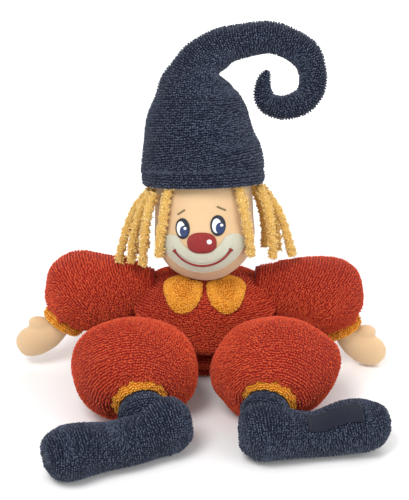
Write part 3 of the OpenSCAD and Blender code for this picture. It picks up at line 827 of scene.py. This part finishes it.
def smile_patch():
    """The patch as rings that shrink onto its own middle arc."""
    edge = patch_outline()
    angle = np.arctan2(edge[:, 1], edge[:, 0])
    limit = np.radians([-90 - PATCH_ANGLE, -90 + PATCH_ANGLE])
    angle = np.clip(np.where(angle > math.pi / 2, angle - TAU, angle), *limit)
    spine = PATCH_R * np.stack([np.cos(angle), np.sin(angle)], -1)
    levels = np.concatenate([np.linspace(0.0, 1, 12), [1.0]])
    flat = spine[None] + (edge - spine)[None] * levels[:, None, None] + (2, 5.6)
    rise = 0.5 * np.maximum(1 - (levels * 0.97) ** 6, 0) ** 0.5 + 0.2
    rise[-1] = -0.5
    lift = np.repeat(rise[:, None], len(edge), 1)
    grid = on_head(on_ball(flat[..., 0], flat[..., 1], lift))
    if np.cross(grid[6, 1] - grid[6, 0], grid[7, 0] - grid[6, 0]) @ (LEAN @ (0, -1, 0)) < 0:
        grid = grid[:, ::-1]
    made = plain_piece("mouth_patch_pad", grid, PATCH_THREAD)
    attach(made, "head")
    soft(made, None, "pale_thread", "mouth_patch")


smile_patch()
around_patch = patch_outline() * 0.985 + (2, 5.3)
ribbon("mouth_patch_stitch", np.vstack([around_patch, around_patch[:2]]), 0.4, 0.35, SEAM_THREAD,
       "pale_thread", ["mouth_patch"], 0.45)
ribbon("smile_line", arc_points(26.8, 60.8, 90) + (2, 1.9), 0.85, 1.0, WINE_THREAD, "dark_red_thread",
       ["smile"], 0.6, tips=1.6)


# ---- hat: hem, crown and curl ----
HAT = [[0, 0, 50, 47.6, 47.6], [0, 0, 53, 49, 49], [-1, 0, 60, 48.4, 48.4], [-3, 0, 71, 46.6, 46.6],
       [-5, 0, 88, 42.5, 42.5], [-6, 0, 105, 37, 37], [-6, 0, 120, 30, 30], [-2, 0, 134, 22.5, 21],
       [7, 0, 145, 18, 18], [19, 0, 152.5, 15.4, 15.4], [38, 0, 157, 14, 14], [57, 0, 158, 13.2, 13.2],
       [76, 0, 153, 12.8, 12.8], [88, 0, 142, 11.8, 11.8], [90, 0, 126, 10.6, 10.6], [85, 0, 111, 10, 10],
       [70, 0, 104, 9.4, 9.4], [56, 0, 107, 8.8, 8.8], [51, 0, 116, 8, 8], [51.5, 0, 124.5, 6.6, 6.6],
       [54.5, 0, 131, 4.2, 4.2], [56, 0, 133.5, 1.2, 1.2]]
hat = rings(HAT, (0, 1, 0), 6, 96)
middle = hat.mean(1)
turn = TAU * np.arange(96) / 96
row_number = np.arange(len(hat))
fold = np.exp(-((row_number - 7.4 * 6) / 3.2) ** 2)[:, None] * np.clip(np.cos(turn - 0.15), 0, 1)[None] ** 2
second = np.exp(-((row_number - 5.6 * 6) / 4.0) ** 2)[:, None] * np.clip(np.cos(turn + 1.1), 0, 1)[None] ** 3
hat = hat - outward(hat) * (7.0 * fold + 2.2 * second)[..., None]
hat = hat + outward(hat) * (1.3 * soft_noise(hat, 34, 8))[..., None]
hat = inflate(hat, (4, 1), 3.0, 0.05, 4.0)
hat_piece = terry_piece("hat_cloth", on_head(hat), NAVY, row=2.1, step=2.0, length=2.2, width=0.74)
soft(hat_piece, 0.8, "navy_terry", "hat_crown", "hat_stuffing", "hat_curl")
crease = np.array([-1, 0, 140.1])
bend_way = unit(np.array([0.87, 0, 0.5]))
bend_from = crease + bend_way * 17
bend_to = crease + bend_way * 24
tuple(on_head(bend_from) * MM)
tuple(on_head(bend_to) * MM)
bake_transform(hat_piece)

brim = band((0, 0, 40), (0, 0, 1), round_profile(47.0, 50.2, 0, 13.4, 0.9, 1.2, 14), 120)
brim_piece = terry_piece("hat_brim", on_head(brim), NAVY, closed=True, fur=on_head(brim[:14]),
                         row=2.1, step=2.0, length=2.2, width=0.74)
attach(brim_piece, "head")
soft(brim_piece, None, "navy_terry", "hat_hem")


# ---- arms ----
def end_direction(stations):
    line = smooth_path(stations, 2)[:, :3]
    return unit(line[-1] - line[-2])


REACH, SLEEVE_R, WRIST_R, CUFF, CUFF_WALL = 47, 35, 12, 9, 3.6
ARM = [[-14, 0, 0, 16, 14], [0, 0, 1, 22, 20], [12, 0, 0, 27, 25], [28.2, 0, -1, 33, 31.5],
       [REACH, -2, -5, SLEEVE_R, SLEEVE_R], [REACH + 9, -5, -16, 28, 30.1], [REACH + 16, -8, -26, 15.6, 15.6]]
ARM_END = np.array(ARM[-1][:3])
ARM_DIR = end_direction(ARM)
WRIST = ARM_END + ARM_DIR * (CUFF / 2 + 0.2)
PUFF_ARM = ARM[:-1] + [[62, -7.6, -24, 19, 19], [63.5, -8.3, -26.8, 13.5, 13.5], [63.8, -8.5, -27.4, 8, 8]]


def gathers(grid, count, depth, reach, seed):
    """Soft pleats that start at the sewn end and run out over the puff."""
    m, n, _ = grid.shape
    turn = TAU * np.arange(n) / n
    pick = np.random.default_rng(seed)
    wave = np.zeros(n)
    for extra in range(3):
        wave += np.sin((count + 2 * extra) * turn + pick.uniform(0, TAU))
    fade = np.exp(-((np.arange(m)[::-1] - 4) / reach) ** 2)
    return grid + outward(grid) * (depth * fade[:, None] * wave[None])[..., None]


for side, name in ((-1, "left"), (1, "right")):
    drop = 6 if side > 0 else 0
    puff = rings(PUFF_ARM, (0, 1, 0), 8, 88, ((1, 0, 0), ARM_DIR))
    puff = gathers(puff, 7, 1.0, 12, 20 + side)
    puff = puff + outward(puff) * (1.4 * soft_noise(puff + 50 * side, 40, 30 + side))[..., None]
    puff = inflate(puff, (9, 4), 4.0, 0.07, 5.0)
    sleeve = terry_piece(f"{name}_sleeve_puff", on_side(puff, side, SHOULDER, drop), RED, ends=(3, 3))
    soft(sleeve, 0.8, "red_terry", f"{name}_sleeve", f"{name}_sleeve_stuffing", f"{name}_finger_pocket")
    blend_ends = on_side(np.array([[-1.0, 0, 0], [12.0, 0, 0]]), side, SHOULDER, drop) * MM
    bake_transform(sleeve)
    profile = round_profile(WRIST_R - 1, WRIST_R + CUFF_WALL + 0.6, -1.2, CUFF, 1.6)
    ring = band(ARM_END + ARM_DIR * 0.2, ARM_DIR, profile, 72, 13, 0.12)
    ring = on_side(ring, side, SHOULDER, drop)
    cuff = terry_piece(f"{name}_sleeve_band", ring, ORANGE, closed=True, fur=ring[:10],
                       row=2.0, step=1.8, length=2.1)
    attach(cuff, f"{name}_arm")
    soft(cuff, None, "orange_terry", f"{name}_sleeve_cuff")


# ---- hands: a velour mitt with a thumb ----
def merged_lofts(name, lofts, look, voxel=1.3, push=6):
    """Lofts run into one skin, then softened."""
    points, quads, fans, count = [], [], [], 0
    for grid in lofts:
        p, q, f = skin_of(grid)
        points.append(p)
        quads.append(q + count)
        fans.append(f + count)
        count += len(p)
    made = make_mesh(name, np.vstack(points), np.vstack(quads), np.vstack(fans))
    bpy.context.view_layer.objects.active = made
    made.select_set(True)
    step = made.modifiers.new("skin", "REMESH")
    step.mode, step.voxel_size, step.use_smooth_shade = "VOXEL", voxel * MM, True
    bpy.ops.object.modifier_apply(modifier=step.name)
    calm = made.modifiers.new("calm", "SMOOTH")
    calm.factor, calm.iterations = 0.6, push
    bpy.ops.object.modifier_apply(modifier=calm.name)
    made.select_set(False)
    made.data.materials.append(look)
    made.data.polygons.foreach_set("use_smooth", np.ones(len(made.data.polygons), bool))
    return made


HAND = unit([0.93, -0.1, -0.35])
HAND_LEN = 40


def hand_lofts():
    w, c, h = WRIST, ARM_DIR, HAND
    palm = [[*(w - c * 4), 8, 8], [*(w + c * 3), 9, 8.5], [*(w + c * 11 + h * 7), 12.5, 9],
            [*(w + c * 12 + h * 18), 14.5, 9.4], [*(w + c * 11 + h * 29), 13, 8.8],
            [*(w + c * 9.5 + h * 36), 8.5, 6],
            [*(w + c * 9 + h * 39), 2, 2]]
    up = unit([0.86, -0.1, 0.28])
    root = w + c * 3 + h * 7
    thumb = [[*root, 6, 6], [*(root + up * 7), 6.4, 6.4], [*(root + up * 14), 6.6, 6.4],
             [*(root + up * 20), 5, 4.8],
             [*(root + up * 23), 1.5, 1.5]]
    return rings(palm, (0, 1, 0), 5, 32), rings(thumb, (0, 1, 0), 5, 24)


for side, name in ((-1, "left"), (1, "right")):
    drop = 6 if side > 0 else 0
    lofts = [on_side(g, side, SHOULDER, drop) for g in hand_lofts()]
    mitt = merged_lofts(f"{name}_mitt", lofts, SKIN)
    soft(mitt, 0.7, "skin_velour", f"{name}_hand", f"{name}_hand_stuffing")
    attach(mitt, f"{name}_hand")


# ---- legs ----
LEG_DIR = unit([0.55, -0.81, 0.2])
LEG_REACH = 46
LEG = [[*(LEG_DIR * -8), 14, 14], [0, 0, 0, 22, 21], [*(LEG_DIR * 10), 28, 27],
       [*(LEG_DIR * 25.3 + (-2, 0, 0)), 41, 38], [*(LEG_DIR * LEG_REACH), 45, 41.85],
       [*(LEG_DIR * LEG_REACH + (-5, -18, -3)), 35.1, 33.3], [*(LEG_DIR * LEG_REACH + (-8, -30, -7)), 19.6, 19.6]]
LEG_END = np.array(LEG[-1][:3])
LEG_END_DIR = end_direction(LEG)
ANKLE = LEG_END + LEG_END_DIR * (CUFF / 2 + 0.2)
ANKLE_R = 16
PUFF_LEG = LEG[:-3] + [[*(LEG_DIR * LEG_REACH + (-5, 0, 0)), 51, 43],
                       [*(LEG_DIR * LEG_REACH + (-6, -15, -4)), 47, 42],
                       [*(LEG_END - LEG_END_DIR * 3), 38, 34], [*(LEG_END + LEG_END_DIR * 7), 27, 25],
                       [*(LEG_END + LEG_END_DIR * 6.4), 20.5, 20.5], [*(LEG_END + LEG_END_DIR * 2), 14, 14],
                       [*(LEG_END + LEG_END_DIR * 1), 8, 8]]

for side, name in ((-1, "left"), (1, "right")):
    puff = rings(PUFF_LEG, (0, 0, 1), 8, 96, (LEG_DIR, LEG_END_DIR))
    puff = gathers(puff, 8, 1.1, 12, 40 + side)
    puff = puff + outward(puff) * (1.8 * soft_noise(puff + 70 * side, 46, 50 + side))[..., None]
    puff = inflate(puff, (9, 4), 4.0, 0.07, 5.0)
    puff = settle(on_side(puff, side, HIP))
    leg = terry_piece(f"{name}_trouser_puff", puff, RED, ends=(3, 3), row=2.25, step=2.0)
    soft(leg, 0.8, "red_terry", f"{name}_trouser_leg", f"{name}_leg_stuffing")
    blend_ends = on_side(np.array([LEG_DIR * -2, LEG_DIR * 12]), side, HIP) * MM
    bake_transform(leg)
    profile = round_profile(ANKLE_R - 1, ANKLE_R + CUFF_WALL + 0.8, -1.4, CUFF, 1.6)
    ring = band(LEG_END + LEG_END_DIR * 0.2, LEG_END_DIR, profile, 80, 15, 0.12)
    ring = on_side(ring, side, HIP)
    cuff = terry_piece(f"{name}_ankle_band", ring, ORANGE, closed=True, fur=ring[:10],
                       row=2.0, step=1.8, length=2.1)
    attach(cuff, f"{name}_leg")
    soft(cuff, None, "orange_terry", f"{name}_ankle_cuff")


# ---- shoes ----
SHOE_R, SHOE_LEN = 21, 80
TOE = unit([0.92, -0.39])


def shoe_grid(side):
    centre = SHOE_R - HIP[2] - ANKLE[2]
    stations = []
    for share, wide, high, low in ((-0.25, 0.1, 0.1, 0), (-0.24, 0.34, 0.34, 0), (-0.2, 0.66, 0.7, 0),
                                   (-0.1, 0.92, 1.04, 1.2), (0.03, 1.0, 1.1, 2.2), (0.3, 0.97, 0.9, -2.0),
                                   (0.56, 0.96, 0.82, -3.6), (0.84, 1.03, 1.0, 0), (1.02, 1.02, 1.0, 0),
                                   (1.16, 0.78, 0.78, 1), (1.235, 0.4, 0.4, 1), (1.25, 0.1, 0.1, 1)):
        x, y = np.array([-20, -24]) + TOE * SHOE_LEN * share
        stations.append([x, y, centre + low, SHOE_R * wide, SHOE_R * high])
    grid = rings(stations, (0, 0, 1), 6, 84)
    grid = grid + outward(grid) * (1.0 * soft_noise(grid + 30 * side, 34, 60 + side))[..., None]
    return inflate(grid, (2, 2), 3.0, 0.04, 3.0)


def on_foot(points, side):
    turn = np.array(Matrix.Rotation(math.radians(32 if side > 0 else 0), 3, "Z"))
    return on_side(points @ turn.T + ANKLE, side, HIP)


shoes = {}
for side, name in ((-1, "left"), (1, "right")):
    shoe = settle(on_foot(shoe_grid(side), side), 1.1)
    shoes[name] = shoe
    made = terry_piece(f"{name}_shoe_cloth", shoe, NAVY, row=2.1, step=2.0, length=2.2, width=0.74,
                       ends=(1.5, 1.5))
    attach(made, f"{name}_foot")
    soft(made, 0.8, "navy_terry", f"{name}_shoe", f"{name}_shoe_stuffing")
    throat = rings([[*(ANKLE + LEG_END_DIR * k), r, r] for k, r in
                    ((-6, 13), (-2, 14), (4, 14.5), (9, 18), (16, 20), (24, 15))],
                   (0, 0, 1), 5, 56)
    made = terry_piece(f"{name}_shoe_throat", on_side(throat, side, HIP), NAVY, row=2.1, step=2.0, length=2.0,
                       width=0.74)
    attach(made, f"{name}_foot")
    soft(made, None, "navy_terry", f"{name}_shoe")


LABEL_HALF = (22, 6.5)


def shoe_label():
    """A blank woven tape with a folded border, curved over the shoe."""
    points, quads, fans = skin_of(shoes["right"])
    tree = BVHTree.FromPolygons([Vector(p) for p in points],
                                [tuple(map(int, q)) for q in quads] + [tuple(map(int, q)) for q in fans])
    low, high = (np.array(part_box("shoe_label")[k]) / MM for k in (0, 1))
    middle = (low + high) / 2
    along = unit([math.cos(math.radians(-23 + 32)), math.sin(math.radians(-23 + 32)), 0])
    across = np.array([-along[1], along[0], 0])
    count_a, count_b = 45, 17
    top, bottom = [], []
    for b in np.linspace(-LABEL_HALF[1], LABEL_HALF[1], count_b):
        for a in np.linspace(-LABEL_HALF[0], LABEL_HALF[0], count_a):
            spot = middle + along * a + across * b
            hit = tree.ray_cast(Vector((spot[0], spot[1], 120)), Vector((0, 0, -1)))
            place, normal = (np.array(hit[0]), np.array(hit[1])) if hit[0] else (spot, np.array((0, 0, 1)))
            border = 0.35 if abs(b) > 5.2 or abs(a) > 20.4 else 0.0
            top.append(place + normal * (1.9 + border + 0.06 * math.sin(a * 8)))
            bottom.append(place + normal * 0.9)
    n = len(top)
    i, k = np.meshgrid(np.arange(count_b - 1), np.arange(count_a - 1), indexing="ij")
    first = (i * count_a + k).ravel()
    face = np.stack([first, first + 1, first + count_a + 1, first + count_a], -1)
    rim = ([(0, k) for k in range(count_a)] + [(i, count_a - 1) for i in range(1, count_b)]
           + [(count_b - 1, k) for k in range(count_a - 2, -1, -1)]
           + [(i, 0) for i in range(count_b - 2, 0, -1)])
    rim = np.array([i * count_a + k for i, k in rim])
    nxt = np.roll(rim, -1)
    wall = np.stack([rim + n, nxt + n, nxt, rim], -1)
    made = make_mesh("label_tape", np.array(top + bottom), np.vstack([face, face[:, ::-1] + n, wall]),
                     np.zeros((0, 3), int))
    made.data.materials.append(LABEL)
    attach(made, "right_foot")
    soft(made, None, "label_weave", "shoe_label")


shoe_label()


# ---- floor and light ----
def floor():
    look = Look("floor_paper", roughness=0.9)
    shade = look.noise(3)
    bpy.ops.mesh.primitive_plane_add(size=6, location=(0, 0, -0.0004))
    made = bpy.context.object
    made.name = "floor"
    made.data.materials.append(look.finish(look.blend(rgb(0.90, 0.90, 0.90), rgb(0.94, 0.94, 0.94), shade)))
    made.select_set(False)


def area_light(name, place, aim, size, power):
    data = bpy.data.lights.new(name, "AREA")
    data.shape, data.size, data.energy = "DISK", size, power
    lamp = bpy.data.objects.new(name, data)
    lamp.location = place
    lamp.rotation_euler = (Vector(aim) - Vector(place)).to_track_quat("-Z", "Y").to_euler()
    view.collection.objects.link(lamp)


floor()
middle_place = (0, -0.02, 0.12)
area_light("key", (-0.45, -0.75, 1.35), middle_place, 0.7, 14)
area_light("fill", (1.1, -0.9, 0.7), middle_place, 1.0, 7)
area_light("rim", (0.3, 1.0, 1.1), middle_place, 0.8, 8)
world = bpy.data.worlds.new("soft_room")
world.use_nodes = True
world.node_tree.nodes["Background"].inputs[0].default_value = rgb(1.0, 1.0, 1.0)
world.node_tree.nodes["Background"].inputs[1].default_value = 0.75
view.world = world
